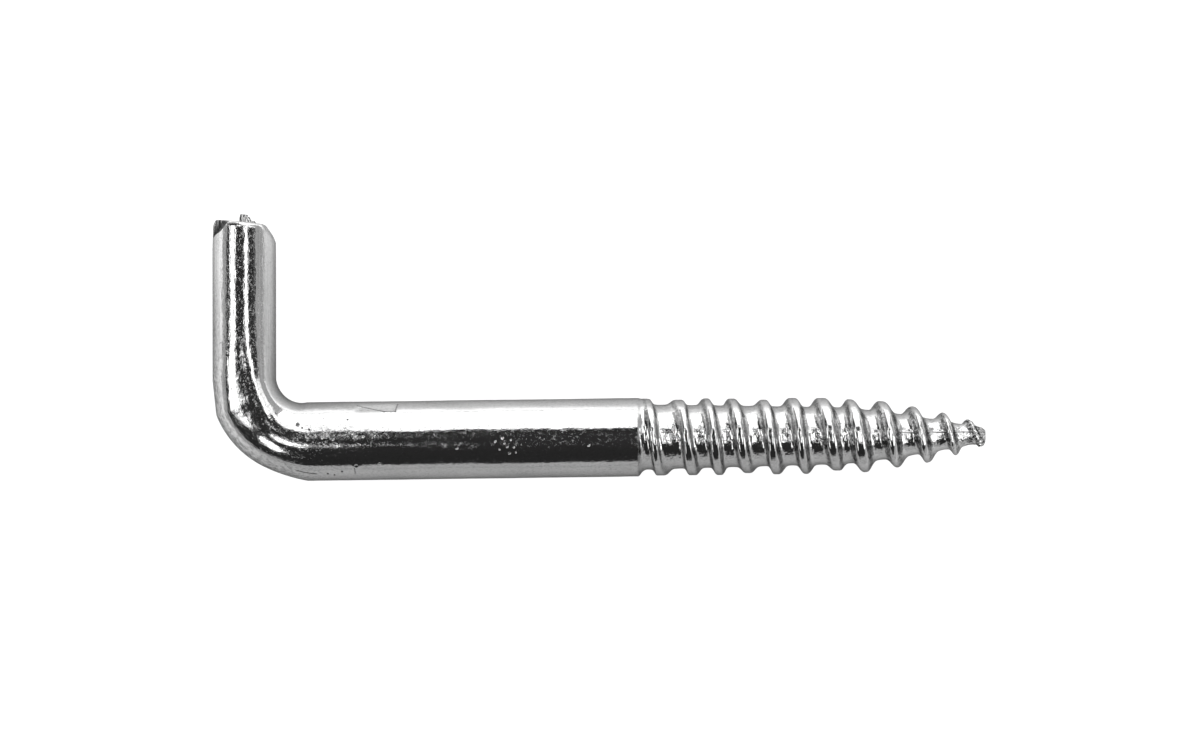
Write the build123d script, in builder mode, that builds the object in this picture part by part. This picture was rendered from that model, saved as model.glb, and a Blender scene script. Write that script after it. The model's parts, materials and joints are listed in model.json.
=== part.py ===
"""Square-bend screw hook: one length of plated steel wire, bent up at one end and rolled to a wood thread."""

import os
from math import ceil, cos, pi, sin

from build123d import *

os.makedirs("parts", exist_ok=True)

# The bent wire, in millimetres
wire_diameter = 6.0
overall_length = 59.0  # outer face of the leg to the blunt point
leg_reach = 19.8  # underside of the shank to the sheared end of the leg
leg_thickness = 4.85  # the press leaves the leg thinner in the plane of the hook
leg_end_thickness = 4.75
drawn_length = 2.2  # last stretch of the leg, drawn in by the blade
bend_inner_radius = 1.75

# The sheared end of the leg
end_chamfer = 0.28
rollover_width = 0.85  # inner side, where the blade came in
rollover_drop = 1.3
nip_width = 1.35  # notch that the blade left in the outer corner
nip_depth = 1.7
burr_width = 1.35
burr_height = 0.55
burr_depth = 2.6
burr_offset = 0.15  # from the middle of the leg, towards the point
overrun = 1.0  # how far cuts run on past the metal

# The wood thread
thread_length = 26.6  # shoulder to blunt end
thread_pitch = 2.23
crest_diameter = 5.9
core_diameter = 5.0  # at the shoulder
waist_diameter = 4.36  # core where the point begins
point_length = 11.4
point_diameter = 1.0  # core at the blunt end
point_crest_diameter = 1.6
shoulder_length = 0.42

# Shape of the ridge, with half widths as shares of the pitch
crest_width_share = 0.11
base_width_share = 0.40  # where the thread is deepest
first_crest_share = 0.31  # shoulder to the first crest on the leg's side, in pitches
shoulder_sink_share = 0.9  # how much further the shoulder's slope runs on inside the core
burr_top_share = 0.5

# How full the point is: 1 gives a straight cone
core_fullness = 1.35
crest_fullness = 1.85
stations_per_turn = 12

# Places that follow, with the hook lying flat and centred over the origin
wire_radius = wire_diameter / 2
overall_height = leg_reach + burr_height
leg_outer_x = -overall_length / 2
point_x = overall_length / 2
underside_y = -overall_height / 2
axis_y = underside_y + wire_radius
leg_axis_x = leg_outer_x + leg_thickness / 2
leg_inner_x = leg_outer_x + leg_thickness
leg_end_y = underside_y + leg_reach
bend_radius = bend_inner_radius + wire_radius
bend_shank_x = leg_axis_x + bend_radius
bend_leg_y = axis_y + bend_radius
shoulder_x = point_x - thread_length
taper_x = point_x - point_length
full_depth = (crest_diameter - waist_diameter) / 2
turns = ceil(thread_length / thread_pitch - first_crest_share) + 2

# Corners of the ridge's section, each with its side of the crest and its level
ridge_corners = {
    "left_base": (-1, "base"),
    "left_crest": (-1, "crest"),
    "right_crest": (1, "crest"),
    "right_base": (1, "base"),
}


def share_between(x, start, end):
    """How far x lies from start to end, held between 0 and 1."""
    return min(max((x - start) / (end - start), 0), 1)


def core_radius(x):
    """Core of the thread: it thins a little along the thread, then closes in on the point."""
    thinning = (core_diameter - waist_diameter) * share_between(x, shoulder_x, taper_x)
    closing = (waist_diameter - point_diameter) * share_between(x, taper_x, point_x) ** core_fullness
    return (core_diameter - thinning - closing) / 2


def crest_radius(x):
    """Crests of the thread: parallel at first, then rounded in to the point."""
    closing = (crest_diameter - point_crest_diameter) * share_between(x, taper_x, point_x) ** crest_fullness
    return (crest_diameter - closing) / 2


def ridge_point(corner, turn):
    """A corner of the ridge's section after so many turns, counted from one pitch inside the shank."""
    side, level = ridge_corners[corner]
    crest_x = shoulder_x + thread_pitch * (first_crest_share + turn - 1)
    depth = crest_radius(crest_x) - core_radius(crest_x)
    flank_share = (base_width_share - crest_width_share) * depth / full_depth
    width_share = crest_width_share + flank_share if level == "base" else crest_width_share
    x = crest_x + side * width_share * thread_pitch
    radius = core_radius(x) if level == "base" else crest_radius(crest_x)
    angle = 2 * pi * turn
    return Vector(x, axis_y + radius * cos(angle), wire_radius + radius * sin(angle))


def ridge_line(corner, turn):
    """One turn of the helix that a corner of the ridge draws, as a smooth curve."""
    stations = [turn + station / stations_per_turn for station in range(stations_per_turn + 1)]
    step = 1 / stations_per_turn ** 2
    tangents = [
        (ridge_point(corner, end + step) - ridge_point(corner, end - step)) / (2 * step)
        for end in (stations[0], stations[-1])
    ]
    points = [ridge_point(corner, station) for station in stations]
    return Edge.make_spline(points, tangents, parameters=stations, scale=False)


def end_faces(section, line):
    """Two faces that close the thread: a flat one through the axis, and a helicoid along a ridge line."""
    axis_points = [Vector(point.X, axis_y, wire_radius) for point in (section[0], section[-1])]
    flat_face = Face(Wire.make_polygon([axis_points[0], *section, axis_points[1]], close=True))
    helicoid = Face.make_surface_from_curves(Edge.make_line(*axis_points), line)
    return [flat_face, helicoid]


def thread_solid():
    """Core and ridge as one solid, skinned between the helices from inside the shank to past the point."""
    lines = {
        (corner, turn): ridge_line(corner, turn) for corner in ridge_corners for turn in range(turns)
    }
    corners = list(ridge_corners)
    faces = []
    for turn in range(turns):
        for corner, next_corner in zip(corners, corners[1:]):
            faces.append(Face.make_surface_from_curves(lines[corner, turn], lines[next_corner, turn]))
    for turn in range(turns - 1):
        valley_start = lines["right_base", turn]
        valley_end = lines["left_base", turn + 1]
        faces.append(Face.make_surface_from_curves(valley_start, valley_end))
    first_section = [ridge_point(corner, 0) for corner in corners]
    first_section.append(ridge_point("left_base", 1))
    faces += end_faces(first_section, lines["left_base", 0])
    last_section = [ridge_point("right_base", turns - 1)]
    last_section += [ridge_point(corner, turns) for corner in corners]
    faces += end_faces(last_section, lines["right_base", turns - 1])
    return Solid(Shell(faces))


shank_start = Plane(origin=(bend_shank_x, axis_y, wire_radius), x_dir=(0, 0, 1), z_dir=(-1, 0, 0))
leg_start = Plane(origin=(leg_axis_x, bend_leg_y, wire_radius), x_dir=(0, 0, 1), z_dir=(0, 1, 0))

with BuildPart() as screw_hook:
    # Tapered thread, cut off blunt at the point
    add(thread_solid())
    split(bisect_by=Plane(origin=(point_x, axis_y, wire_radius), z_dir=(1, 0, 0)), keep=Keep.BOTTOM)

    # Plain shank, with a sloped shoulder where the rolled thread begins
    with BuildSketch(Plane.XY.offset(wire_radius)):
        nose_scale = 1 + shoulder_sink_share
        nose_radius = wire_radius - (wire_radius - core_diameter / 2) * nose_scale
        nose_x = shoulder_x + shoulder_length * nose_scale
        with BuildLine():
            Polyline(
                (bend_shank_x, axis_y),
                (bend_shank_x, axis_y + wire_radius),
                (shoulder_x, axis_y + wire_radius),
                (nose_x, axis_y + nose_radius),
                (nose_x, axis_y),
                close=True,
            )
        make_face()
    revolve(axis=Axis((0, axis_y, wire_radius), (1, 0, 0)))

    # Bend, whose section goes from the round wire to the pressed leg
    with BuildSketch(shank_start):
        Circle(wire_radius)
    with BuildSketch(leg_start):
        Ellipse(wire_radius, leg_thickness / 2)
    with BuildLine(Plane.XY.offset(wire_radius)) as bend_path:
        CenterArc((bend_shank_x, bend_leg_y), bend_radius, 270, -90)
    sweep(path=bend_path.line, multisection=True)

    # Leg, whose last stretch the blade drew in a little, with the edge of its sheared end broken
    drawn_start = leg_start.offset(leg_end_y - drawn_length - bend_leg_y)
    with BuildSketch(leg_start):
        Ellipse(wire_radius, leg_thickness / 2)
    extrude(amount=leg_end_y - drawn_length - bend_leg_y)
    with BuildSketch(drawn_start):
        Ellipse(wire_radius, leg_thickness / 2)
    with BuildSketch(drawn_start.offset(drawn_length)):
        Ellipse(wire_radius, leg_end_thickness / 2)
    loft(ruled=True)
    chamfer(screw_hook.edges().group_by(Axis.Y)[-1], end_chamfer)

    # Rollover of the inner side, and the notch in the outer corner
    with BuildSketch(Plane.XY):
        with Locations((leg_inner_x, leg_end_y)):
            Polygon((-rollover_width, 0), (0, -rollover_drop), (overrun, -rollover_drop), (overrun, overrun),
                    (-rollover_width, overrun), align=None)
    extrude(amount=wire_diameter, mode=Mode.SUBTRACT)
    with BuildSketch(Plane.XY.offset(wire_diameter - nip_depth)):
        with Locations((leg_outer_x, leg_end_y)):
            Polygon((nip_width, 0), (nip_width, overrun), (-overrun, overrun), (-overrun, -nip_width),
                    (0, -nip_width), align=None)
    extrude(amount=nip_depth, mode=Mode.SUBTRACT)

    # Burr that the blade drew up out of the end
    with BuildSketch(Plane.XY.offset(wire_radius)):
        with Locations((leg_axis_x + burr_offset, leg_end_y)):
            half_base = burr_width / 2
            half_top = half_base * burr_top_share
            Polygon((-half_base, 0), (-half_base, -end_chamfer), (half_base, -end_chamfer), (half_base, 0),
                    (half_top, burr_height), (-half_top, burr_height), align=None)
    extrude(amount=burr_depth / 2, both=True)

screw_hook.part.label = "screw_hook"
export_step(screw_hook.part, "parts/screw_hook.step")
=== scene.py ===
"""Square-bend screw hook in bright zinc, lying on a pale studio floor."""

import json
from math import pi, radians, tan

import bpy
import numpy as np
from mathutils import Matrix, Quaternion, Vector


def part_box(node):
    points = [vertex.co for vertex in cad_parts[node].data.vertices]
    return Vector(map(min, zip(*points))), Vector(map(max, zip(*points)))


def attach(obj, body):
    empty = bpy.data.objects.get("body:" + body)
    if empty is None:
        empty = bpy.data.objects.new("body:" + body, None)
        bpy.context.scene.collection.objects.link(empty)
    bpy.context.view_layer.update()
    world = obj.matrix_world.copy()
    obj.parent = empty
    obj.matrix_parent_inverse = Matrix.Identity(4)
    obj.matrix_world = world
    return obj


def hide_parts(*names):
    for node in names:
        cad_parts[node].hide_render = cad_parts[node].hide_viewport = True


bl_info = {
    "name": "Screw Hook",
    "version": (1, 0, 0),
    "blender": (4, 5, 0),
    "location": "3D View > Sidebar > Screw Hook",
    "description": "A bent and threaded wire hook in bright zinc, with its studio floor, lamps and camera",
    "category": "Add Mesh",
}

MM = 0.001

# Knocks on the plating, in millimetres along the wire, across it and up, each with its reach
DENTS = [
    ((-7.9, -0.15, 3.00), 0.10),
    ((-7.6, -0.75, 2.90), 0.09),
    ((-7.35, 0.10, 3.00), 0.12),
    ((-7.2, -0.30, 2.98), 0.08),
    ((-7.0, -0.55, 2.95), 0.11),
    ((-6.85, -1.05, 2.81), 0.12),
    ((-6.7, -0.05, 3.00), 0.08),
    ((-6.5, -0.60, 2.94), 0.09),
    ((-6.35, -1.00, 2.83), 0.08),
    ((-0.81, -0.52, 2.95), 0.12),
    ((-10.82, -0.62, 2.94), 0.11),
    ((-18.5, -1.85, 2.36), 0.16),
    ((-17.9, 0.35, 2.98), 0.11),
    ((-21.0, 0.30, 2.98), 0.12),
    ((-20.2, 0.15, 3.00), 0.10),
]
SPOTS = [
    ((-23.06, 1.25, 2.73), 0.24),
    ((-22.0, 0.95, 2.85), 0.12),
    ((-22.6, 1.05, 2.81), 0.10),
    ((-19.6, -2.30, 1.92), 0.12),
    ((-20.7, -2.45, 1.73), 0.12),
    ((-20.2, -2.55, 1.58), 0.10),
    ((-19.1, 1.65, 2.50), 0.10),
]
SCRATCHES = [
    ((-18.39, 2.68, 1.35), (-16.32, 2.22, 2.02), 0.09),
    ((-16.32, 2.22, 2.02), (-15.48, 2.22, 2.02), 0.09),
    ((-15.48, 2.22, 2.02), (-15.33, 2.75, 1.20), 0.10),
    ((-18.64, -2.10, 2.14), (-18.60, -2.45, 1.73), 0.09),
    ((-23.4, -2.20, 2.04), (-21.6, -2.45, 1.73), 0.08),
]

# A flat bruise on the shank's inner side and a nick on its outer side, in millimetres and degrees
BRUISE_LEAN = 34.0
BRUISE_DEPTH = 0.045
BRUISE_SLANT = 2.0
BRUISE_START = (-18.6, -18.2)
BRUISE_END = (-15.6, -15.2)
NICK_FACING = (-0.66, 0.751)
NICK_ALONG = -18.45
NICK_LENGTH = 0.16
NICK_WIDTH = 0.30
NICK_HEIGHT = 0.07

# Stretches of the wire over which a finish comes in or goes out, in millimetres along it
BEND_OUTSIDE_START = (-39.0, -33.0)
BEND_OUTSIDE_END = (-25.0, -20.0)
PRESSED_LEG_END = (-33.0, -28.0)
PRESSED_BEND_END = (-23.0, -16.0)
VALLEYS_START = (3.2, 4.8)
GRIME_START = (10.0, 22.0)
SEAM_START = (21.5, 23.0)
POINT_START = (24.0, 28.0)
TIP_START = (27.2, 28.8)

# The bend's outside and the point's seam, in millimetres across the wire
BEND_OUTSIDE_EDGE = (-2.5, -1.4)
SEAM_ACROSS = 0.23
SEAM_WAVER = 0.3
SEAM_WIDTH = (0.02, 0.08)

# How far each half turn of the ridge lies past its even place, and how much lower it is, in millimetres
RIDGE_SHIFTS = [
    0.10, -0.12, 0.36, 0.10, 0.19, 0.04, -0.17, -0.06, 0.10, -0.15, 0.0, -0.04,
    0.0, 0.12, -0.06, 0.08, 0.10, 0.27, 0.42, 0.30, 0.42, 0.30, 0.12, 0.05,
]
RIDGE_DROPS = [
    0.0, 0.0, 0.12, 0.0, 0.0, 0.0, 0.06, 0.12, 0.15, 0.02, 0.04, 0.0,
    0.04, 0.31, 0.12, 0.04, 0.08, 0.0, 0.10, 0.0, 0.02, 0.0, 0.02, 0.0,
]
RIDGE_WAVES = (0.61, 0.93, 1.37, 2.21, 3.3, 5.7)

# Turns at which the uneven ridge is worked out, and over how many of them its steps are softened
FIRST_TURN = -3.0
LAST_TURN = 16.0
TURN_STEPS = 1901
SOFTENED_STEPS = 31

# Lumps of the burr, in millimetres across the leg, in depth and in width, each with its share of the height
BURR_LUMPS = [
    (-0.08, 1.2, 0.26, 1.0),
    (0.16, 0.7, 0.30, 1.0),
    (0.36, 1.1, 0.30, 0.75),
    (0.66, 0.5, 0.34, 0.35),
]
BURR_CRUMBS = 16

# The notch's torn walls: shares of its width, slopes, and sizes in metres
NIP_FRONT_DROP = 0.85
NIP_FRONT_CURVE = 0.6
NIP_FOOT_LIFT = 0.1 * MM
NIP_FOOT_SLOPE = 1.68
NIP_FOOT_START = 0.12 * MM
NIP_FLOOR_SLOPE = 0.9
NIP_FLOOR_START = 0.88 * MM
NIP_WALL = 0.8 * MM
NIP_EDGE = 0.04 * MM
FRONT_TEAR = 0.02 * MM
WALL_TEAR = 0.03 * MM

# The burr's lumps: how they stretch in depth, how their sides fall and how high they stand
LUMP_DEPTH = 0.8
LUMP_SIDES = (0.45, 1.15)
LUMP_BLEND = 0.05 * MM
LUMP_RISE = 1.2

# Rings on the blunt end, thread rows on the shank, and how rows gather at the sheared end
BLUNT_RINGS = 6
SHOULDER_ROWS = 4
LEG_GATHER = 0.35
END_GATHER = 1.35
END_TAKES_OVER = 0.80

# Panels over the hook, in metres and degrees: shape, x, y, level, width, length, turn and brightness
CEILING = [
    ("leg_window", "RECTANGLE", 0.315, -0.035, 1.20, 0.324, 0.79, 0.0, 1.6),
    ("right_window", "RECTANGLE", 0.480, 0.290, 0.60, 0.54, 0.39, 0.0, 1.0),
    ("left_window", "RECTANGLE", -0.555, 0.020, 0.50, 0.40, 0.20, 0.0, 1.6),
    ("thread_window", "RECTANGLE", -0.165, 0.190, 0.60, 0.18, 0.21, 0.0, 1.5),
    ("bend_spot", "ELLIPSE", -0.141, -0.139, 0.60, 0.145, 0.150, -27.0, 1.6),
    ("corner_spot", "ELLIPSE", -0.367, -0.442, 0.50, 0.25, 0.42, -10.0, 1.6),
    ("thread_strip", "RECTANGLE", 0.075, -0.017, 0.031, 0.070, 0.026, 0.0, 1.5),
]

# Lamps that light the floor alone, in metres: x, y, level, width, length and brightness
POOLS = [
    ("back_pool", 0.0, 0.060, 0.016, 0.26, 0.09, 1.85),
    ("left_pool", -0.075, 0.0, 0.018, 0.07, 0.06, 1.12),
]

# Upright panels: the softbox behind the hook and the card to its left, in metres and degrees
SOFTBOX_X = 0.072
SOFTBOX_Y = 0.30
SOFTBOX_LIFT = 0.004
SOFTBOX_WIDTH = 0.276
SOFTBOX_TOP = 29.0
SOFTBOX_LEVEL = 1.25
CARD_PLACE = (-0.45, -0.100, 0.35)
CARD_WIDTH = 0.11
CARD_HEIGHT = 0.30
CARD_LEVEL = 1.6

DOWN = (0.0, 0.0, -1.0)
FORWARD = (0.0, -1.0, 0.0)
RIGHT = (1.0, 0.0, 0.0)
WHITE = (1.0, 1.0, 1.0)

PHOTO_WIDTH = 1200
PHOTO_PIXELS_PER_MM = 13.08
PICTURE_MIDDLE = (0.11 * MM, -2.61 * MM)

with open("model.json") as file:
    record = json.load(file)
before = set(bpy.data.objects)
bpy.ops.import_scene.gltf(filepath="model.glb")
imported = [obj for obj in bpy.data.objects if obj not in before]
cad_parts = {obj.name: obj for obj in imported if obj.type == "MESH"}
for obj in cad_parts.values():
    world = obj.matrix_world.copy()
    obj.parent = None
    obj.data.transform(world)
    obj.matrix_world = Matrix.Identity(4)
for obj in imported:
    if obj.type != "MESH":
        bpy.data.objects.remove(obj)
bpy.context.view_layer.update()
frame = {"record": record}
HOOK_LOW, HOOK_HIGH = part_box("screw_hook")
SHANK = next(mount for mount in frame["record"]["mounts"] if mount["name"] == "shank")
SHANK_MIDDLE = Vector(SHANK["pos_m"])
SHANK_LENGTH = SHANK["dims"]["length_mm"] * MM


def length(name, description, default):
    """A size in metres."""
    given = {"name": name, "description": description, "default": default}
    return bpy.props.FloatProperty(**given, min=0.0, precision=5, subtype="DISTANCE", unit="LENGTH")


def share(name, description, default):
    """A plain number, such as a share of another size."""
    return bpy.props.FloatProperty(name=name, description=description, default=default, precision=4)


def count(name, description, default):
    """How many of something there are."""
    return bpy.props.IntProperty(name=name, description=description, default=default, min=1)


def turn(name, description, degrees):
    """An angle."""
    given = {"name": name, "description": description, "default": radians(degrees)}
    return bpy.props.FloatProperty(**given, subtype="ANGLE", unit="ROTATION")


def colour(name, description, default):
    """A colour as linear red, green and blue."""
    given = {"name": name, "description": description, "default": default}
    return bpy.props.FloatVectorProperty(**given, size=3, min=0.0, max=1.0, subtype="COLOR")


class HookWire(bpy.types.PropertyGroup):
    """The bent wire and its sheared end."""

    radius: length("Wire radius", "Half the thickness of the plain shank", SHANK["dims"]["r_mm"] * MM)
    unevenness: length("Unevenness", "Height of the shank's long waves", 0.0045 * MM)
    leg_thickness: length("Leg thickness", "Across the leg in the plane of the hook", 4.85 * MM)
    leg_end_thickness: length("Leg end thickness", "Across the leg at its sheared end", 4.75 * MM)
    drawn_length: length("Drawn length", "Last stretch of the leg, drawn in by the blade", 2.2 * MM)
    inner_radius: length("Inner bend radius", "Inside of the bend", 1.75 * MM)
    outer_radius: length("Outer bend radius", "Outside of the bend, pressed a little flat", 7.42 * MM)
    outer_flare: length("Outer bend flare", "How much the outside widens towards the shank", 0.33 * MM)
    outer_blend: length("Outer bend blend", "How softly the outside runs into the leg", 0.05 * MM)
    flare_angle: turn("Flare angle", "Where the outside starts to widen", 26.0)
    leg_lean: share("Leg lean", "How fast the leg's outer side leans in at the bend", 0.094)
    leg_tilt: turn("Leg tilt", "How far the leg leans towards the shank", 0.7)
    bend_bulge: share("Bend bulge", "How much metal the bend crowds to its inner side", 0.56)
    bulge_softness: share("Bulge softness", "How gently the crowding starts", 0.1)
    bulge_angle: turn("Bulge angle", "Where along the bend the metal crowds most", 69.0)
    bulge_rise: turn("Bulge rise", "How far it swells, coming from the shank", 26.0)
    bulge_fall: turn("Bulge fall", "How far it settles, going up the leg", 38.0)
    burr_height: length("Burr height", "Torn crest above the sheared end", 0.55 * MM)
    burr_overshoot: length("Burr overshoot", "How far crumbs stand over the burr", 0.08 * MM)
    end_round: length("End rounding", "Rounded rim of the sheared end", 0.32 * MM)
    corner_round: length("Corner rounding", "Rounded outer corner of the sheared end", 0.42 * MM)
    end_slope: share("End slope", "How much the sheared end drops towards the shank", 0.115)
    end_pivot: length("End pivot", "Where the sloped end keeps its level", 2.2 * MM)
    rollover_width: length("Rollover width", "Slope on the inner side of the sheared end", 0.88 * MM)
    rollover_drop: length("Rollover drop", "How far that slope goes down", 1.0 * MM)
    rollover_blend: length("Rollover blend", "How softly that slope starts", 0.12 * MM)
    nip_width: length("Nip width", "Notch in the outer corner of the sheared end", 1.35 * MM)
    nip_depth: length("Nip depth", "How deep the notch goes into the wire", 1.7 * MM)
    columns: count("Columns", "Faces around the wire", 144)
    shank_rows: count("Shank rows", "Faces along the plain shank", 130)
    bend_rows: count("Bend rows", "Faces along the bend", 60)
    leg_rows: count("Leg rows", "Faces along the leg", 70)
    end_rows: count("End rows", "Faces from the end's rim to its middle", 34)


class HookThread(bpy.types.PropertyGroup):
    """The rolled wood thread."""

    pitch: length("Pitch", "From one crest to the next", 2.23 * MM)
    crest_diameter: length("Crest diameter", "Over the crests", 5.9 * MM)
    core_diameter: length("Core diameter", "In the valleys at the shoulder", 5.0 * MM)
    waist_diameter: length("Waist diameter", "In the valleys where the point begins", 4.36 * MM)
    point_length: length("Point length", "Tapered end of the thread", 11.4 * MM)
    point_diameter: length("Point diameter", "Core at the blunt end", 1.0 * MM)
    point_crest: length("Point crest diameter", "Crest at the blunt end", 1.6 * MM)
    crest_width: share("Crest width", "Half the flat crest, as a share of the pitch", 0.132)
    crest_change: share("Crest change", "How much the crest's width varies along the ridge", 0.16)
    crest_blend: share("Crest blend", "How softly the ridge rounds over at its crest", 0.44)
    base_width: share("Base width", "Half the ridge's foot, as a share of the pitch", 0.29)
    base_least: share("Least base", "Share of the foot left where the thread is shallow", 0.35)
    root_blend: share("Root blend", "How softly the ridge rises out of the valley", 0.62)
    root_round: length("Root rounding", "How much the valleys dish between the ridges", 0.14 * MM)
    first_crest: share("First crest", "Shoulder to the first crest on the leg's side, in pitches", 0.31)
    core_fullness: share("Core fullness", "How full the core of the point is", 1.35)
    crest_fullness: share("Crest fullness", "How full the crests of the point are", 1.85)
    point_sharpening: share("Point sharpening", "How much narrower the crests get at the point", 0.65)
    wander: length("Wander", "How far the ridge strays from its line", 0.016 * MM)
    sag: length("Sag", "How much lower the ridge gets in places", 0.020 * MM)
    droop: length("Droop", "How far the point sprang off the shank's line", 0.20 * MM)
    run_in_start: turn("Run-in start", "How far ahead of the first crest the groove starts", 10.0)
    run_in: turn("Run-in", "Where the groove has cut clear of the shoulder", 150.0)
    shoulder_slope: share("Shoulder slope", "Drop of the shoulder for its run", 1.25)
    shoulder_blend: length("Shoulder blend", "How softly the shoulder runs into the thread", 0.42 * MM)
    tip_round: length("Tip rounding", "Rounded rim of the blunt end", 0.3 * MM)
    tip_closing: share("Tip closing", "How much the rim closes in", 0.55)
    ragged_start: length("Ragged start", "Where raggedness starts, before the blunt end", 1.5 * MM)
    ragged_full: length("Ragged full", "Where it is full, before the blunt end", 0.2 * MM)
    raggedness: share("Raggedness", "How uneven the ragged metal is", 0.08)
    rows_per_turn: count("Rows per turn", "Faces along one pitch", 32)


class HookFinish(bpy.types.PropertyGroup):
    """The zinc plating. Heights are in millimetres."""

    bright: colour("Bright zinc", "Clean plating", (0.80, 0.80, 0.80))
    dull: colour("Dull zinc", "Plating with a thin film on it", (0.56, 0.56, 0.56))
    pit: colour("Pit", "Floor of a pit or of a torn place", (0.04, 0.04, 0.04))
    edge: colour("Edge tint", "What the plating mirrors at a grazing angle", (0.50, 0.50, 0.50))
    roughness: share("Roughness", "Blur of the plain plating", 0.072)
    film_blur: share("Film blur", "Added blur under a film", 0.08)
    speck_blur: share("Speck blur", "Added blur in a film's specks", 0.20)
    worked_blur: share("Worked blur", "Added blur in specks on the pressed wire", 0.09)
    pit_blur: share("Pit blur", "Added blur in pits", 0.25)
    torn_blur: share("Torn blur", "Added blur on torn steel", 0.12)
    valley_blur: share("Valley blur", "Added blur in the valleys", 0.02)
    peel: share("Orange peel", "Height of the rolling unevenness", 0.022)
    outside_peel: share("Outside peel", "Added unevenness on the bend's outside", 0.035)
    point_peel: share("Point peel", "Added unevenness on the point", 0.05)
    thread_peel: share("Thread peel", "Added unevenness on the thread", 0.006)
    valley_peel: share("Valley peel", "Added unevenness in the valleys", 0.026)
    valley_streaks: share("Valley streaks", "Height of streaks in the valleys", 0.042)
    point_streaks: share("Point streaks", "Height of streaks on the point", 0.04)
    grain: share("Grain", "Height of the fine grain", 0.006)
    lines: share("Drawing lines", "Height of the lines along the wire", 0.002)
    worked_lines: share("Worked lines", "Added height of lines on the pressed wire", 0.003)
    pit_depth: share("Pit depth", "Depth of the pits", 0.03)
    fleck_height: share("Fleck height", "Height of loose flecks", 0.02)
    dent_height: share("Dent height", "Height of the raised knocks", 0.022)
    torn_height: share("Torn height", "Height of the torn steel's grain", 0.03)


class HookStage(bpy.types.PropertyGroup):
    """Floor, surroundings and camera."""

    floor: colour("Floor", "Pale floor", (0.86, 0.86, 0.86))
    # Painted shade: the floor's colour under the hook as the metal mirrors it
    floor_shade: colour("Floor shade", "Floor under the hook, as the metal mirrors it", (0.22, 0.22, 0.22))
    floor_size: length("Floor size", "Side of the square floor", 2.4)
    floor_gap: length("Floor gap", "Air between the floor and the hook", 0.02 * MM)
    shade_reach: length("Shade reach", "How far off the hook shades the floor", 14.0 * MM)
    room: colour("Room", "Surroundings between the lamps", (0.022, 0.022, 0.022))
    walls: colour("Walls", "Surroundings low down", (0.40, 0.40, 0.40))
    field_width: length("Field width", "Picture's width at the hook", PHOTO_WIDTH / PHOTO_PIXELS_PER_MM * MM)
    lens: share("Lens", "Focal length in millimetres", 150.0)
    roll: turn("Roll", "How far the hook is turned in the picture", 0.75)


def smooth_max(a, b, blend):
    """The larger of two values, rounded over where they meet."""
    near = np.maximum(blend - np.abs(a - b), 0.0) / blend
    return np.maximum(a, b) + near * near * blend / 4


def smooth_min(a, b, blend):
    """The smaller of two values, rounded over where they meet."""
    return -smooth_max(-a, -b, blend)


def rise(start, end, value):
    """0 before start, 1 past end and a smooth step between."""
    along = np.clip((value - start) / (end - start), 0.0, 1.0)
    return along * along * (3 - 2 * along)


def unevenness(seed, places, longest, shortest, waves):
    """A smooth random field of about unit height over straightened wire places."""
    source = np.random.default_rng(seed)
    field = np.zeros(places.shape[:-1])
    drawn_out = 0.45
    for _ in range(waves):
        direction = source.normal(size=3)
        direction[0] *= drawn_out
        direction /= np.linalg.norm(direction)
        size = np.exp(source.uniform(np.log(shortest), np.log(longest)))
        field += np.sin(places @ direction * 2 * pi / size + source.uniform(0, 2 * pi))
    return field * np.sqrt(2 / waves)


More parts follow.
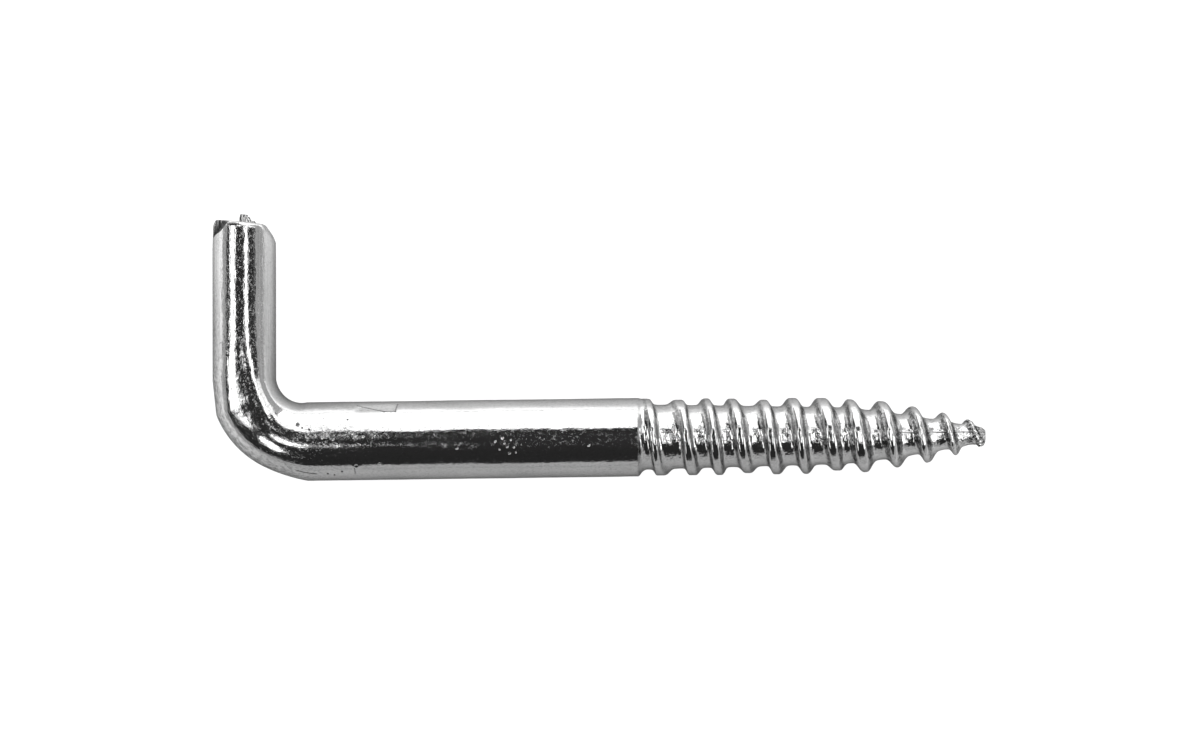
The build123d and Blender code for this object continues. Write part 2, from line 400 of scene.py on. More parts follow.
class HookShape:
    """Places on the hook's skin, worked out from the wire's and the thread's sizes."""

    def __init__(self, wire, thread):
        self.wire = wire
        self.thread = thread
        self.angles = np.linspace(0, 2 * pi, wire.columns, endpoint=False)
        self.axis_y = SHANK_MIDDLE.y
        self.axis_z = SHANK_MIDDLE.z
        self.bend_x = SHANK_MIDDLE.x - SHANK_LENGTH / 2
        self.shoulder_x = SHANK_MIDDLE.x + SHANK_LENGTH / 2
        self.point_x = HOOK_HIGH.x
        self.taper_x = self.point_x - thread.point_length
        self.bend_y = self.axis_y + wire.inner_radius + wire.radius
        self.leg_x = HOOK_LOW.x + wire.leg_thickness / 2
        self.end_y = HOOK_HIGH.y - wire.burr_height
        self.set_ridge_line()
        self.set_burr()

    def set_ridge_line(self):
        """Where the ridge's crests lie and how far they drop, turn by turn."""
        half_turns = np.arange(len(RIDGE_SHIFTS)) / 2
        self.fine_turns = np.linspace(FIRST_TURN, LAST_TURN, TURN_STEPS)
        soft = np.hanning(SOFTENED_STEPS) / np.hanning(SOFTENED_STEPS).sum()
        shifts = np.convolve(np.interp(self.fine_turns, half_turns, RIDGE_SHIFTS), soft, "same")
        self.drops = np.convolve(np.interp(self.fine_turns, half_turns, RIDGE_DROPS), soft, "same")
        even = self.shoulder_x + self.thread.pitch * (self.thread.first_crest + self.fine_turns)
        self.crests = even + shifts * MM

    def set_burr(self):
        """Lumps of the burr, with smaller crumbs among them."""
        source = np.random.default_rng(21)
        self.burr_lumps = list(BURR_LUMPS)
        for _ in range(BURR_CRUMBS):
            at = source.uniform(-0.22, 0.62)
            depth = source.uniform(-1.3, 1.6)
            wide = source.uniform(0.10, 0.20)
            tall = source.uniform(0.55, 1.0) * (1 - abs(at - 0.06) * 1.1)
            self.burr_lumps.append((at, depth, wide, tall))

    def core_radius(self, x):
        """Core of the thread, which thins a little and then closes in on the point."""
        t = self.thread
        thinning = np.clip((x - self.shoulder_x) / (self.taper_x - self.shoulder_x), 0, 1)
        closing = np.clip((x - self.taper_x) / t.point_length, 0, 1) ** t.core_fullness
        diameter = t.core_diameter - (t.core_diameter - t.waist_diameter) * thinning
        return (diameter - (t.waist_diameter - t.point_diameter) * closing) / 2

    def crest_radius(self, x):
        """Crests of the thread, parallel at first and then rounded in to the point."""
        t = self.thread
        closing = np.clip((x - self.taper_x) / t.point_length, 0, 1) ** t.crest_fullness
        return (t.crest_diameter - (t.crest_diameter - t.point_crest) * closing) / 2

    def ridge_waves(self, helix):
        """How much the ridge swells and strays along its helix."""
        source = np.random.default_rng(7)
        swell = np.zeros_like(helix)
        stray = np.zeros_like(helix)
        for rate in RIDGE_WAVES:
            swell = swell + np.sin(helix * rate * 2 * pi + source.uniform(0, 6)) / rate ** 0.5
            stray = stray + np.sin(helix * rate * 2 * pi + source.uniform(0, 6)) / rate
        return swell, stray

    def shank_radius(self, x, angle):
        """Radius of the shank and thread, and how high up a ridge each place is."""
        t = self.thread
        turns = np.interp(x, self.crests, self.fine_turns) - angle / (2 * pi)
        nearest = np.round(turns)
        helix = nearest + angle / (2 * pi)
        swell, stray = self.ridge_waves(helix)
        offset = np.abs((turns - nearest) * t.pitch + stray * t.wander)
        core = self.core_radius(x)
        depth = self.crest_radius(x) - core
        full = (t.crest_diameter - t.waist_diameter) / 2
        sharp = np.clip((x - self.taper_x) / t.point_length, 0, 1) * t.point_sharpening
        crest = t.crest_width * t.pitch * (1 - sharp) * (1 + t.crest_change * np.clip(swell, -1.5, 1.5))
        flank = (t.base_width - t.crest_width) * t.pitch * (t.base_least + (1 - t.base_least) * depth / full)
        climb = (crest + flank - offset) / flank
        height = smooth_min(smooth_max(climb, 0.0 * climb, t.root_blend), 1.0 + 0.0 * climb, t.crest_blend)
        dish = t.root_round * (1 + np.cos(offset / t.pitch * 2 * pi)) / 2 * (1 - height) * depth / full
        ridge = core + dish + depth * height + np.minimum(swell * t.sag, 0.0) * height
        ridge = ridge - np.interp(helix, self.fine_turns, self.drops) * MM * height
        filled = (1 - rise(-t.run_in_start, t.run_in, helix * 2 * pi)) * (turns < nearest)
        ridge = ridge + (core + depth - ridge) * filled
        cone = self.wire.radius - (x - self.shoulder_x) * t.shoulder_slope
        radius = smooth_max(ridge, np.minimum(cone, self.wire.radius), t.shoulder_blend)
        radius = np.where(x < self.shoulder_x, self.wire.radius, np.minimum(radius, self.wire.radius))
        tip = np.clip((x - (self.point_x - t.tip_round)) / t.tip_round, 0, 1)
        radius = radius * np.sqrt(1 - t.tip_closing * tip * tip)
        ragged = rise(self.point_x - t.ragged_start, self.point_x - t.ragged_full, x)
        torn = np.sin(3 * angle + 1.1) + np.sin(5 * angle + 7 * x / MM) + np.sin(9 * angle + 11 * x / MM)
        radius = radius * (1 + ragged * t.raggedness * torn)
        return radius, np.where(x < self.shoulder_x, -1.0, height)

    def end_height(self, across, deep, edge):
        """Level of the sheared end over its section, with its rounded rim, slope, notch and burr."""
        w = self.wire
        half = w.leg_end_thickness / 2
        rim = np.clip(w.end_round - edge * half, 0.0, w.end_round)
        drop = w.end_round - np.sqrt(np.maximum(w.end_round ** 2 - rim ** 2, 0.0))
        past_outer = across + half
        level = self.end_y - drop + (w.end_pivot - past_outer) * w.end_slope
        corner = np.clip((w.corner_round - half - across) / w.corner_round, 0.0, 1.0)
        level = level - w.corner_round * (1 - np.sqrt(np.maximum(1 - corner ** 2, 0.0)))
        past = across - (half - w.rollover_width)
        slope = np.maximum(past, 0.0) * w.rollover_drop / w.rollover_width
        level = level - smooth_max(slope, 0.0 * slope, w.rollover_blend)
        bite = np.maximum(level - self.nip_wall(across, deep, past_outer), 0.0)
        bite = bite * rise(-NIP_EDGE, NIP_EDGE, deep - self.nip_floor(across, deep, past_outer))
        level = level - bite
        burr = 0.0 * level
        for at, depth, wide, tall in self.burr_lumps:
            far = np.hypot(across - at * MM, (deep - depth * MM) * LUMP_DEPTH) / (wide * MM)
            lump = w.burr_height * tall * (1 - rise(*LUMP_SIDES, far))
            burr = smooth_max(burr, lump, LUMP_BLEND)
        return np.minimum(level + burr * LUMP_RISE, HOOK_HIGH.y + w.burr_overshoot), bite

    def tear(self, across, deep):
        """Unevenness of torn steel."""
        return np.sin(9 * across / MM + 1.3) * 0.5 + np.sin(5.2 * deep / MM + 4.1 * across / MM)

    def nip_floor(self, across, deep, past_outer):
        """How deep in the wire the notch ends."""
        w = self.wire
        sloped = NIP_FLOOR_SLOPE * (past_outer - NIP_FLOOR_START)
        return w.radius - w.nip_depth + sloped + self.tear(across, deep) * WALL_TEAR

    def nip_wall(self, across, deep, past_outer):
        """Level of the notch's wall, from its foot to its front edge."""
        w = self.wire
        torn = self.tear(across, deep)
        to_go = 1 - past_outer / w.nip_width
        curve = NIP_FRONT_DROP * w.nip_width + NIP_FRONT_CURVE * past_outer
        front = self.end_y - to_go * curve + torn * FRONT_TEAR
        sloped = NIP_FOOT_SLOPE * (past_outer - NIP_FOOT_START)
        foot = self.end_y - w.nip_width + NIP_FOOT_LIFT + sloped + torn * WALL_TEAR
        up_wall = np.clip((deep - self.nip_floor(across, deep, past_outer)) / NIP_WALL, 0, 1)
        return foot + (np.minimum(front, foot) - foot) * up_wall

    def crowded(self, bend, inner, up):
        """Depth of the wire's skin along the bend, fuller towards its inner side."""
        w = self.wire
        spread = np.where(bend < w.bulge_angle, w.bulge_rise, w.bulge_fall)
        bulge = w.bend_bulge * np.exp(-(((bend - w.bulge_angle) / spread) ** 2))
        fuller = 1 + bulge * (inner + np.sqrt(inner * inner + w.bulge_softness)) / 2
        most = (1 + bulge * 0.41) * (1 - bulge * 0.03)
        return w.radius * up * fuller / most

    def sprung(self, x):
        """Height of the wire's axis in the plane of the hook, which droops towards the point."""
        past = np.clip((x - self.shoulder_x) / (self.point_x - self.shoulder_x), 0, 1)
        return self.axis_y - self.thread.droop * past ** 1.5

    def rows(self):
        """Rings of places from the point to the sheared end's middle, with what the plating needs."""
        w = self.wire
        t = self.thread
        angle = self.angles[None, :]
        inner = np.cos(angle)
        up = np.sin(angle)
        places = []
        wires = []
        heights = []
        sheared = []

        def keep(x, y, z, wire_x, wire_in, wire_up, height, cut):
            shape = np.broadcast_shapes(x.shape, y.shape, z.shape)
            places.append(np.stack([np.broadcast_to(v, shape) for v in (x, y, z)], axis=-1))
            wires.append(np.stack([np.broadcast_to(v, shape) for v in (wire_x, wire_in, wire_up)], axis=-1))
            heights.append(np.broadcast_to(height, shape))
            sheared.append(np.broadcast_to(cut, shape))

        # Blunt end
        blunt = np.linspace(0.0, 1.0, BLUNT_RINGS + 1)[1:, None]
        radius, height = self.shank_radius(np.full((1, 1), self.point_x), angle)
        x = np.full_like(blunt, self.point_x)
        keep(x, self.sprung(x) + radius * blunt * inner, self.axis_z + radius * blunt * up, x,
             radius * blunt * inner, radius * blunt * up, 0.0 * blunt, 1.0 + 0.0 * blunt)

        # Thread, with a few rows on the shank
        step = t.pitch / t.rows_per_turn
        start = self.shoulder_x - SHOULDER_ROWS * step
        thread_rows = int(round((self.point_x - start) / step))
        x = np.linspace(self.point_x, start, thread_rows + 1)[1:, None]
        radius, height = self.shank_radius(x, angle)
        keep(x, self.sprung(x) + radius * inner, self.axis_z + radius * up, x,
             radius * inner, radius * up, height, 0.0 * height)

        # Plain shank
        x = np.linspace(start, self.bend_x, w.shank_rows + 1)[1:, None]
        keep(x, self.axis_y + w.radius * inner + 0 * x, self.axis_z + w.radius * up + 0 * x, x,
             w.radius * inner, w.radius * up, -1.0, 0.0)

        # Bend
        bend = np.linspace(0, pi / 2, w.bend_rows + 1)[1:, None]
        flare = np.maximum(1 - bend / w.flare_angle, 0.0) ** 2
        leg_out = self.bend_x - HOOK_LOW.x
        arc = w.outer_radius + w.outer_flare * flare
        side = leg_out / (np.sin(bend) + w.leg_lean * np.cos(bend))
        outer = smooth_min(arc, side, w.outer_blend)
        inside = w.inner_radius + (leg_out - w.leg_thickness - w.inner_radius) * bend / (pi / 2)
        middle = (outer + inside) / 2
        half = (outer - inside) / 2
        reach = middle - half * inner
        deep = self.crowded(bend, inner, up)
        keep(self.bend_x - reach * np.sin(bend), self.bend_y - reach * np.cos(bend), self.axis_z + deep,
             self.bend_x - middle * bend, half * inner, deep, -1.0, 0.0)

        # Leg, whose last stretch takes on the form of the sheared end's rim
        run = np.linspace(0, 1, w.leg_rows + 1)[1:, None]
        run = run * (1 + LEG_GATHER * (1 - run) * run)
        half_end = w.leg_end_thickness / 2
        rim_level, _ = self.end_height(half_end * inner, w.radius * up, 0.0 * inner)
        level = self.bend_y + (self.end_y - self.bend_y) * run
        level = level + (rim_level - self.end_y) * rise(END_TAKES_OVER, 1.0, run)
        drawn = rise(self.end_y - w.drawn_length, self.end_y, level)
        half = w.leg_thickness / 2 - (w.leg_thickness / 2 - half_end) * drawn
        along = self.bend_x - middle[-1] * pi / 2 - (level - self.bend_y)
        deep = self.crowded(pi / 2 + (level - self.bend_y) / middle[-1], inner, up)
        tilt = (level - self.bend_y) * tan(w.leg_tilt)
        keep(self.leg_x + half * inner + tilt, level, self.axis_z + deep,
             along, half * inner, deep, -1.0, 0.0 * run)

        # Sheared end, torn past its rim and most of all in the notch
        inward = np.linspace(1, 0, w.end_rows + 1)[1:-1, None]
        inward = 1 - (1 - inward) ** END_GATHER
        across = half_end * inner * inward
        deep = w.radius * up * inward
        level, bite = self.end_height(across, deep, 1 - inward + 0 * across)
        tilt = (level - self.bend_y) * tan(w.leg_tilt)
        nipped = rise(0.004 * MM, 0.05 * MM, bite)
        torn = np.maximum(rise(0.10, 0.30, 1 - inward), nipped) + nipped
        keep(self.leg_x + across + tilt, level, self.axis_z + deep,
             along[-1:] + 0 * across, across, deep, -1.0, torn)
        return [np.concatenate(part) for part in (places, wires, heights, sheared)]

    def marks(self, places, wires):
        """Moves the shank's skin for the rolling's unevenness, a flat bruise and a small nick."""
        wave = unevenness(3, wires / MM, 5.0, 1.1, 36) * self.wire.unevenness
        plain = (places[..., 0] > self.bend_x) & (places[..., 0] < self.shoulder_x)
        radial = places[..., 1:] - np.array([self.axis_y, self.axis_z])
        size = np.linalg.norm(radial, axis=-1, keepdims=True)
        outward = radial / np.maximum(size, 1e-9)
        lean = radians(BRUISE_LEAN)
        bruise_facing = np.array([np.cos(lean), np.sin(lean)])
        facing = outward @ bruise_facing * self.wire.radius
        slant = places[..., 0] / MM + (outward[..., 1] - bruise_facing[1]) * BRUISE_SLANT
        span = rise(*BRUISE_START, slant) * (1 - rise(*BRUISE_END, slant))
        bruise = np.maximum(facing - (self.wire.radius - BRUISE_DEPTH * MM), 0.0) * span
        off_nick = np.linalg.norm(outward - np.array(NICK_FACING), axis=-1) * self.wire.radius
        nick = np.exp(-(((places[..., 0] / MM - NICK_ALONG) / NICK_LENGTH) ** 2))
        nick = nick * np.exp(-((off_nick / (NICK_WIDTH * MM)) ** 2)) * NICK_HEIGHT * MM
        change = np.where(plain, wave - bruise + nick, 0.0)
        places[..., 1:] += outward * change[..., None]
        return places


class Feed:
    """A value on its way through a material: each sum or product on it adds a Math node."""

    def __init__(self, recipe, socket):
        self.recipe = recipe
        self.socket = socket

    def math(self, operation, *values):
        settings = {"operation": operation}
        return self.recipe.node("ShaderNodeMath", settings, dict(enumerate(values)))

    def __add__(self, other):
        return self.math("ADD", self, other)

    def __radd__(self, other):
        return self.math("ADD", other, self)

    def __sub__(self, other):
        return self.math("SUBTRACT", self, other)

    def __rsub__(self, other):
        return self.math("SUBTRACT", other, self)

    def __mul__(self, other):
        return self.math("MULTIPLY", self, other)

    def __rmul__(self, other):
        return self.math("MULTIPLY", other, self)

    def __gt__(self, other):
        return self.math("GREATER_THAN", self, other)

    def at_most(self, other):
        return self.math("MINIMUM", self, other)

    def at_least(self, other):
        return self.math("MAXIMUM", self, other)

    def size(self):
        """The value without its sign."""
        return self.math("ABSOLUTE", self)

    def ramp(self, start, end):
        """0 at start and 1 at end, smooth between and held outside."""
        return self.recipe.node(
            "ShaderNodeMapRange",
            {"interpolation_type": "SMOOTHSTEP"},
            {"Value": self, "From Min": start, "From Max": end},
        )


class Recipe:
    """Builds one material's or the world's nodes."""

    def __init__(self, tree):
        self.tree = tree
        tree.nodes.clear()

    def node(self, kind, settings=None, sockets=None, output=0):
        """Adds a node, sets it up, fills its sockets with values or links, and gives back one output."""
        made = self.tree.nodes.new(kind)
        for name, value in (settings or {}).items():
            setattr(made, name, value)
        for name, value in (sockets or {}).items():
            if isinstance(value, Feed):
                self.tree.links.new(value.socket, made.inputs[name])
            else:
                made.inputs[name].default_value = value
        return Feed(self, made.outputs[output])

    def finish(self, kind, surface):
        """Adds the output node and links the finished surface to it."""
        end = self.tree.nodes.new(kind)
        self.tree.links.new(surface.socket, end.inputs["Surface"])

    def attribute(self, name, output):
        """A value that the mesh carries."""
        return self.node("ShaderNodeAttribute", {"attribute_name": name}, output=output)

    def axes(self, place):
        """A vector's three numbers."""
        return [self.node("ShaderNodeSeparateXYZ", {}, {"Vector": place}, name) for name in "XYZ"]

    def rays(self):
        """1 for rays from the camera, for mirrored rays and for rays through something."""
        kinds = ("Is Camera Ray", "Is Glossy Ray", "Is Transmission Ray")
        return [self.node("ShaderNodeLightPath", {}, {}, kind) for kind in kinds]

    def vectors(self, operation, sockets, output=0):
        """One step of vector maths."""
        return self.node("ShaderNodeVectorMath", {"operation": operation}, sockets, output)

    def stretched(self, place, along, around):
        """Places scaled along the wire and across it."""
        return self.vectors("MULTIPLY", {0: place, 1: (along, around, around)})

    def noise(self, place, along, around, detail, roughness):
        """Clouds over the wire, by how many there are to a millimetre along it and around it."""
        stretched = self.stretched(place, along, around)
        sockets = {"Vector": stretched, "Scale": 1.0, "Detail": detail, "Roughness": roughness}
        return self.node("ShaderNodeTexNoise", {"noise_dimensions": "3D"}, sockets)

    def cells(self, place, output):
        """Scattered points: how far the nearest one is, or a colour of its own for each."""
        return self.node("ShaderNodeTexVoronoi", {"feature": "F1"}, {"Vector": place, "Scale": 1.0}, output)

    def dot(self, place, at, size):
        """1 at one place on the wire, falling to 0 at a distance from it."""
        far = self.vectors("DISTANCE", {0: place, 1: at}, "Value")
        return 1 - far.ramp(size * 0.35, size)

    def scratch(self, place, start, end, wide):
        """1 along a straight line between two places on the wire, falling to 0 beside it."""
        start = Vector(start)
        way = Vector(end) - start
        heading = way.normalized()
        run = self.vectors("SUBTRACT", {0: place, 1: start})
        along = self.vectors("DOT_PRODUCT", {0: run, 1: heading}, "Value")
        along = along.at_least(0.0).at_most(way.length)
        near = self.vectors("SCALE", {0: heading, "Scale": along})
        far = self.vectors("DISTANCE", {0: run, 1: near}, "Value")
        return 1 - far.ramp(wide * 0.3, wide)

    def blend_colours(self, factor, first, second):
        """One colour over another, by a factor."""
        return self.node(
            "ShaderNodeMix",
            {"data_type": "RGBA", "clamp_factor": True},
            {0: factor, 6: first, 7: second},
            output=2,
        )


def opaque(rgb):
    """A colour with its alpha."""
    return (*rgb, 1.0)


def zinc_material(finish):
    """Bright zinc on drawn wire: orange peel, drawing lines, pits, thread streaks and a torn end."""
    material = bpy.data.materials.new("bright_zinc")
    material.use_nodes = True
    recipe = Recipe(material.node_tree)
    place = recipe.attribute("wire_place", "Vector")
    ridge = recipe.attribute("ridge_height", "Fac")
    torn = recipe.attribute("torn_steel", "Fac")
    along, across, upward = recipe.axes(place)

    # Clouds of several sizes
    peel = recipe.noise(place, 1.3, 2.6, 2.0, 0.55)
    grain = recipe.noise(place, 5.0, 9.0, 2.0, 0.6)
    lines = recipe.noise(place, 0.12, 7.0, 2.0, 0.5)
    streaks = recipe.noise(place, 2.6, 0.9, 3.0, 0.6)
    cloud = recipe.noise(place, 0.25, 0.5, 3.0, 0.6)
    film = recipe.noise(place, 4.2, 5.2, 2.0, 0.7)
    speckle = film.ramp(0.52, 0.68)

    # Parts of the wire
    thread = ridge.ramp(-0.6, -0.2)
    valley = (1 - ridge.ramp(0.15, 0.75)) * thread * along.ramp(*VALLEYS_START)
    flank = ridge.ramp(0.05, 0.35) * (1 - ridge.ramp(0.70, 0.97))
    worked = (1 - along.ramp(*PRESSED_LEG_END)) * 0.7 + (1 - along.ramp(*PRESSED_BEND_END)) * 0.3
    bent = (1 - along.ramp(*BEND_OUTSIDE_END)) * along.ramp(*BEND_OUTSIDE_START)
    outside = (1 - across.ramp(*BEND_OUTSIDE_EDGE)) * bent
    point = along.ramp(*POINT_START)

    # Pits, flecks and knocks
    scattered = recipe.stretched(place, 0.9, 1.1)
    near = recipe.cells(scattered, "Distance")
    draw = recipe.cells(scattered, "Color")
    pitted = recipe.node("ShaderNodeSeparateColor", {}, {"Color": draw}, "Red") > 0.92
    flecked = recipe.node("ShaderNodeSeparateColor", {}, {"Color": draw}, "Green") > 0.88
    pit = (1 - (near + grain * 0.12).ramp(0.06, 0.20)) * pitted
    fleck = (1 - (near + grain * 0.10).ramp(0.05, 0.14)) * flecked
    dents = sum(recipe.dot(place, at, size) for at, size in DENTS)
    spots = sum(recipe.dot(place, at, size) for at, size in SPOTS)
    scores = sum(recipe.scratch(place, start, end, wide) for start, end, wide in SCRATCHES)
    off_seam = (across - SEAM_ACROSS + (cloud - 0.5) * SEAM_WAVER).size()
    seam = (1 - off_seam.ramp(*SEAM_WIDTH)) * along.ramp(*SEAM_START)
    seam = seam * (upward > 0.0) * (1 - ridge.ramp(0.3, 0.8))
    pit = (pit + spots + scores * 0.55 + seam * 0.7).at_most(1.0)

    # Relief in millimetres
    rolled = finish.peel * (0.40 + worked * 0.60) + thread * finish.thread_peel + valley * finish.valley_peel
    height = peel * (outside * finish.outside_peel + point * finish.point_peel + rolled)
    height = height + grain * (finish.grain * (0.55 + worked * 0.45 + thread * 0.6))
    height = height + lines * (finish.lines + worked * finish.worked_lines)
    height = height + streaks * (valley * finish.valley_streaks + point * finish.point_streaks)
    height = height - pit * finish.pit_depth + fleck * finish.fleck_height + dents * finish.dent_height
    height = height + torn * ((streaks + grain) * finish.torn_height)
    bump = recipe.node("ShaderNodeBump", {}, {"Height": height, "Strength": 1.0, "Distance": MM}, "Normal")

    # Film, grime and torn steel over the bright plating
    dulled = cloud.ramp(0.35, 0.75) * 0.25 + speckle * 0.4 + flank * 0.6 + grain.ramp(0.45, 0.70) * 0.4
    dulled = dulled + outside * film.ramp(0.42, 0.56) * 0.7 + worked * lines.ramp(0.40, 0.62) * 0.5
    dulled = (dulled + torn * 0.4).at_most(1.0)
    base = recipe.blend_colours(dulled, opaque(finish.bright), opaque(finish.dull))
    ripped = torn.ramp(1.2, 1.8) * (0.55 + grain * 0.6) + torn.ramp(0.6, 1.0) * grain.ramp(0.50, 0.58)
    grime = flank * (0.35 + along.ramp(*GRIME_START) * 0.35) * film.ramp(0.46, 0.60)
    grime = grime + along.ramp(*TIP_START) * film.ramp(0.50, 0.58) * 0.7
    stained = pit * 0.9 + ripped + grime + outside * film.ramp(0.48, 0.62) * 0.35
    base = recipe.blend_colours(stained.at_most(0.95), base, opaque(finish.pit))
    roughness = finish.roughness + dulled * finish.film_blur
    roughness = roughness + speckle * (cloud * finish.speck_blur + worked * finish.worked_blur)
    roughness = roughness + pit * finish.pit_blur + torn * finish.torn_blur + valley * finish.valley_blur

    shader = recipe.node(
        "ShaderNodeBsdfPrincipled",
        {},
        {
            "Base Color": base,
            "Metallic": 1.0,
            "Specular Tint": opaque(finish.edge),
            "Roughness": roughness,
            "Normal": bump,
        },
        "BSDF",
    )
    recipe.finish("ShaderNodeOutputMaterial", shader)
    return material


class SCREWHOOK_OT_hook(bpy.types.Operator):
    """Build the bent, threaded and plated wire in place of the plain solid"""

    bl_idname = "screwhook.hook"
    bl_label = "Build Hook"

    SHARP_ANGLE = 38.0

    def execute(self, context):
        shape = HookShape(context.scene.hook_wire, context.scene.hook_thread)
        places, wires, heights, sheared = shape.rows()
        places = shape.marks(places, wires)
        rows, columns = places.shape[:2]
        index = np.arange(rows * columns).reshape(rows, columns)
        turned = np.roll(index, -1, axis=1)
        quads = np.stack([index[:-1], turned[:-1], turned[1:], index[1:]], axis=-1).reshape(-1, 4)
        tip = rows * columns
        end = tip + 1
        middles = np.stack([places[0].mean(axis=0), places[-1].mean(axis=0)])
        corners = np.concatenate([places.reshape(-1, 3), middles])
        fans = [(tip, int(b), int(a)) for a, b in zip(index[0], turned[0])]
        fans += [(end, int(a), int(b)) for a, b in zip(index[-1], turned[-1])]
        mesh = bpy.data.meshes.new("screw_hook_wire")
        mesh.from_pydata(corners.tolist(), [], quads.tolist() + fans)
        if mesh.validate():
            raise RuntimeError("the hook's mesh has faces that don't hold")

        def spread(values):
            rings = values.reshape(rows, columns, -1)
            ends = np.stack([rings[0].mean(0), rings[-1].mean(0)])
            return np.concatenate([rings.reshape(rows * columns, -1), ends]).astype(np.float32).ravel()

        carried = (
            ("wire_place", "FLOAT_VECTOR", "vector", wires / MM),
            ("ridge_height", "FLOAT", "value", heights),
            ("torn_steel", "FLOAT", "value", sheared),
        )
        for name, kind, field, values in carried:
            attribute = mesh.attributes.new(name, kind, "POINT")
            attribute.data.foreach_set(field, spread(values))
        mesh.polygons.foreach_set("use_smooth", np.ones(len(mesh.polygons), bool))
        mesh.set_sharp_from_angle(angle=radians(self.SHARP_ANGLE))
        mesh.materials.append(zinc_material(context.scene.hook_finish))
        mesh.update()
        hook = bpy.data.objects.new("screw_hook_wire", mesh)
        context.scene.collection.objects.link(hook)
        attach(hook, "root")
        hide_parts("screw_hook")
        return {"FINISHED"}


def panel_lamp(context, name, at, facing, wide, high, level, shape="RECTANGLE"):
    """A flat lamp of even brightness that polished metal mirrors as a bright panel."""
    data = bpy.data.lights.new(name, "AREA")
    data.shape = shape
    data.size = wide
    data.size_y = high
    area = wide * high * (1.0 if shape == "RECTANGLE" else pi / 4)
    data.energy = 4 * area * level
    lamp = bpy.data.objects.new(name, data)
    lamp.location = at
    lamp.rotation_mode = "QUATERNION"
    lamp.rotation_quaternion = Vector(facing).to_track_quat("-Z", "Y")
    lamp.visible_camera = False
    context.scene.collection.objects.link(lamp)
    return lamp


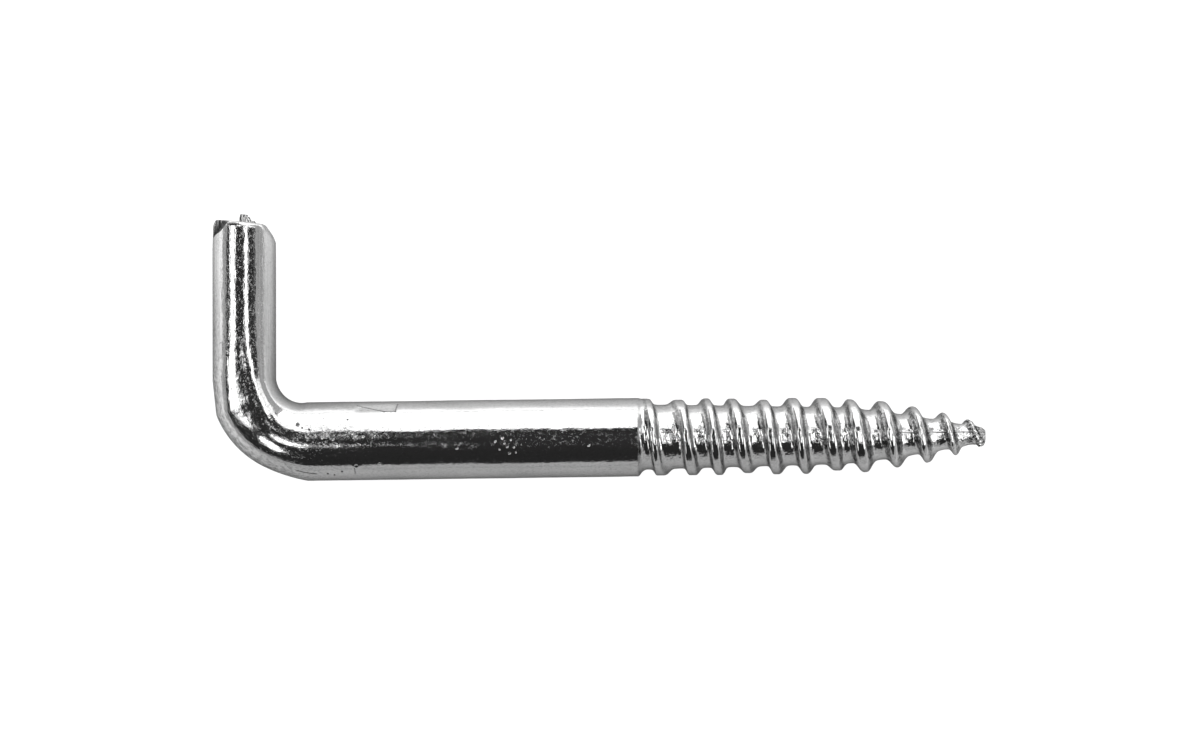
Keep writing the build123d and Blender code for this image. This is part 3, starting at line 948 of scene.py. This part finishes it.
class SCREWHOOK_OT_stage(bpy.types.Operator):
    """Lay the pale floor and set the lamps, the surroundings and the camera"""

    bl_idname = "screwhook.stage"
    bl_label = "Set Stage"

    # Brightness of the white glow, and how much of it the camera sees and the metal mirrors
    GLOW = 1.2
    FLOOR_SEEN = 0.80
    FLOOR_MIRRORED = 0.07
    WALLS_MIRRORED = 0.06

    # Open sky over a floor in painted shade and an unshaded floor, and how much of the painted shade is left
    # in the open
    SKY_OPEN = (0.28, 0.72)
    OPEN_SHADE = 0.42

    # The walls' upper edge as a rise, and how it leans to the right, to the back and at the corners
    WALLS_EDGE = (0.418, 0.458)
    WALLS_RIGHT = 0.16
    WALLS_BACK = 0.18
    WALLS_CORNER = 0.14

    def execute(self, context):
        stage = context.scene.hook_stage
        self.lay_floor(context, stage)
        self.light(context)
        self.surround(context, stage)
        self.set_camera(context, stage)
        context.scene.view_settings.view_transform = "Standard"
        return {"FINISHED"}

    def lay_floor(self, context, stage):
        half = stage.floor_size / 2
        level = HOOK_LOW.z - stage.floor_gap
        mesh = bpy.data.meshes.new("pale_floor")
        corners = [(-half, -half, level), (half, -half, level), (half, half, level), (-half, half, level)]
        mesh.from_pydata(corners, [], [(0, 1, 2, 3)])
        material = bpy.data.materials.new("pale_floor")
        material.use_nodes = True
        recipe = Recipe(material.node_tree)
        seen, mirrored, through = recipe.rays()
        reach = {"Distance": stage.shade_reach}
        # Painted shade for mirrored rays: the floor's colour darkens by ambient occlusion where the hook
        # hides the sky, and stays a little darker in the open
        open_sky = recipe.node("ShaderNodeAmbientOcclusion", {"samples": 6}, reach, "AO")
        painted_shade_share = mirrored * (1 - open_sky.ramp(*self.SKY_OPEN) * (1 - self.OPEN_SHADE))
        shade = recipe.blend_colours(painted_shade_share, opaque(stage.floor), opaque(stage.floor_shade))
        paint = recipe.node("ShaderNodeBsdfDiffuse", {}, {"Color": shade})
        glow = recipe.node("ShaderNodeEmission", {}, {"Color": opaque(WHITE), "Strength": self.GLOW})
        shown = seen * self.FLOOR_SEEN + (mirrored + through) * self.FLOOR_MIRRORED
        lit = recipe.node("ShaderNodeMixShader", {}, {0: shown, 1: paint, 2: glow})
        recipe.finish("ShaderNodeOutputMaterial", lit)
        mesh.materials.append(material)
        floor = bpy.data.objects.new("pale_floor", mesh)
        context.scene.collection.objects.link(floor)

    def light(self, context):
        top = (SOFTBOX_Y - SHANK_MIDDLE.y) / tan(radians(SOFTBOX_TOP))
        at = (SOFTBOX_X, SOFTBOX_Y, top / 2 + SOFTBOX_LIFT)
        panel_lamp(context, "back_softbox", at, FORWARD, SOFTBOX_WIDTH, top, SOFTBOX_LEVEL)
        for name, shape, x, y, z, wide, long, turned, level in CEILING:
            lamp = panel_lamp(context, name, (x, y, z), DOWN, wide, long, level, shape)
            lamp.rotation_quaternion = Quaternion((0, 0, 1), radians(turned)) @ lamp.rotation_quaternion
        panel_lamp(context, "left_card", CARD_PLACE, RIGHT, CARD_WIDTH, CARD_HEIGHT, CARD_LEVEL)
        for name, x, y, z, wide, long, level in POOLS:
            pool = panel_lamp(context, name, (x, y, z), DOWN, wide, long, level)
            pool.visible_glossy = False

    def surround(self, context, stage):
        world = bpy.data.worlds.new("studio_room")
        context.scene.world = world
        world.use_nodes = True
        recipe = Recipe(world.node_tree)
        way = recipe.node("ShaderNodeTexCoord", {}, {}, "Generated")
        right, back, high = recipe.axes(way)
        leaned = high - right * self.WALLS_RIGHT - back * self.WALLS_BACK + right * back * self.WALLS_CORNER
        low = 1 - leaned.ramp(*self.WALLS_EDGE)
        seen, mirrored, through = recipe.rays()
        room = recipe.blend_colours(low, opaque(stage.room), opaque(stage.walls))
        white = seen + (mirrored + through) * low * self.WALLS_MIRRORED
        shown = recipe.blend_colours(white, room, opaque(WHITE))
        light = recipe.node("ShaderNodeBackground", {}, {"Color": shown, "Strength": 1.0})
        recipe.finish("ShaderNodeOutputWorld", light)

    def set_camera(self, context, stage):
        data = bpy.data.cameras.new("camera")
        data.lens = stage.lens
        data.sensor_width = 36.0
        data.clip_start = 0.01
        data.clip_end = 20.0
        camera = bpy.data.objects.new("camera", data)
        far = stage.field_width * stage.lens / data.sensor_width
        camera.location = (*PICTURE_MIDDLE, SHANK_MIDDLE.z + far)
        camera.rotation_euler = (0.0, 0.0, -stage.roll)
        context.scene.collection.objects.link(camera)
        context.scene.camera = camera


class SCREWHOOK_PT_sidebar(bpy.types.Panel):
    """The hook's and the stage's buttons and sizes"""

    bl_idname = "SCREWHOOK_PT_sidebar"
    bl_label = "Screw Hook"
    bl_space_type = "VIEW_3D"
    bl_region_type = "UI"
    bl_category = "Screw Hook"

    def draw(self, context):
        column = self.layout.column()
        for group in GROUPS:
            settings = getattr(context.scene, group)
            for name in settings.bl_rna.properties.keys():
                if name not in {"rna_type", "name"}:
                    column.prop(settings, name)
        for operator in OPERATORS:
            column.operator(operator.bl_idname)


GROUPS = {
    "hook_wire": HookWire,
    "hook_thread": HookThread,
    "hook_finish": HookFinish,
    "hook_stage": HookStage,
}
OPERATORS = (SCREWHOOK_OT_hook, SCREWHOOK_OT_stage)


def register():
    for name, group in GROUPS.items():
        bpy.utils.register_class(group)
        setattr(bpy.types.Scene, name, bpy.props.PointerProperty(type=group))
    for operator in OPERATORS:
        bpy.utils.register_class(operator)
    bpy.utils.register_class(SCREWHOOK_PT_sidebar)


def unregister():
    bpy.utils.unregister_class(SCREWHOOK_PT_sidebar)
    for operator in reversed(OPERATORS):
        bpy.utils.unregister_class(operator)
    for name, group in reversed(GROUPS.items()):
        delattr(bpy.types.Scene, name)
        bpy.utils.unregister_class(group)


def main():
    register()
    bpy.ops.screwhook.hook()
    bpy.ops.screwhook.stage()


if __name__ == "__main__":
    main()
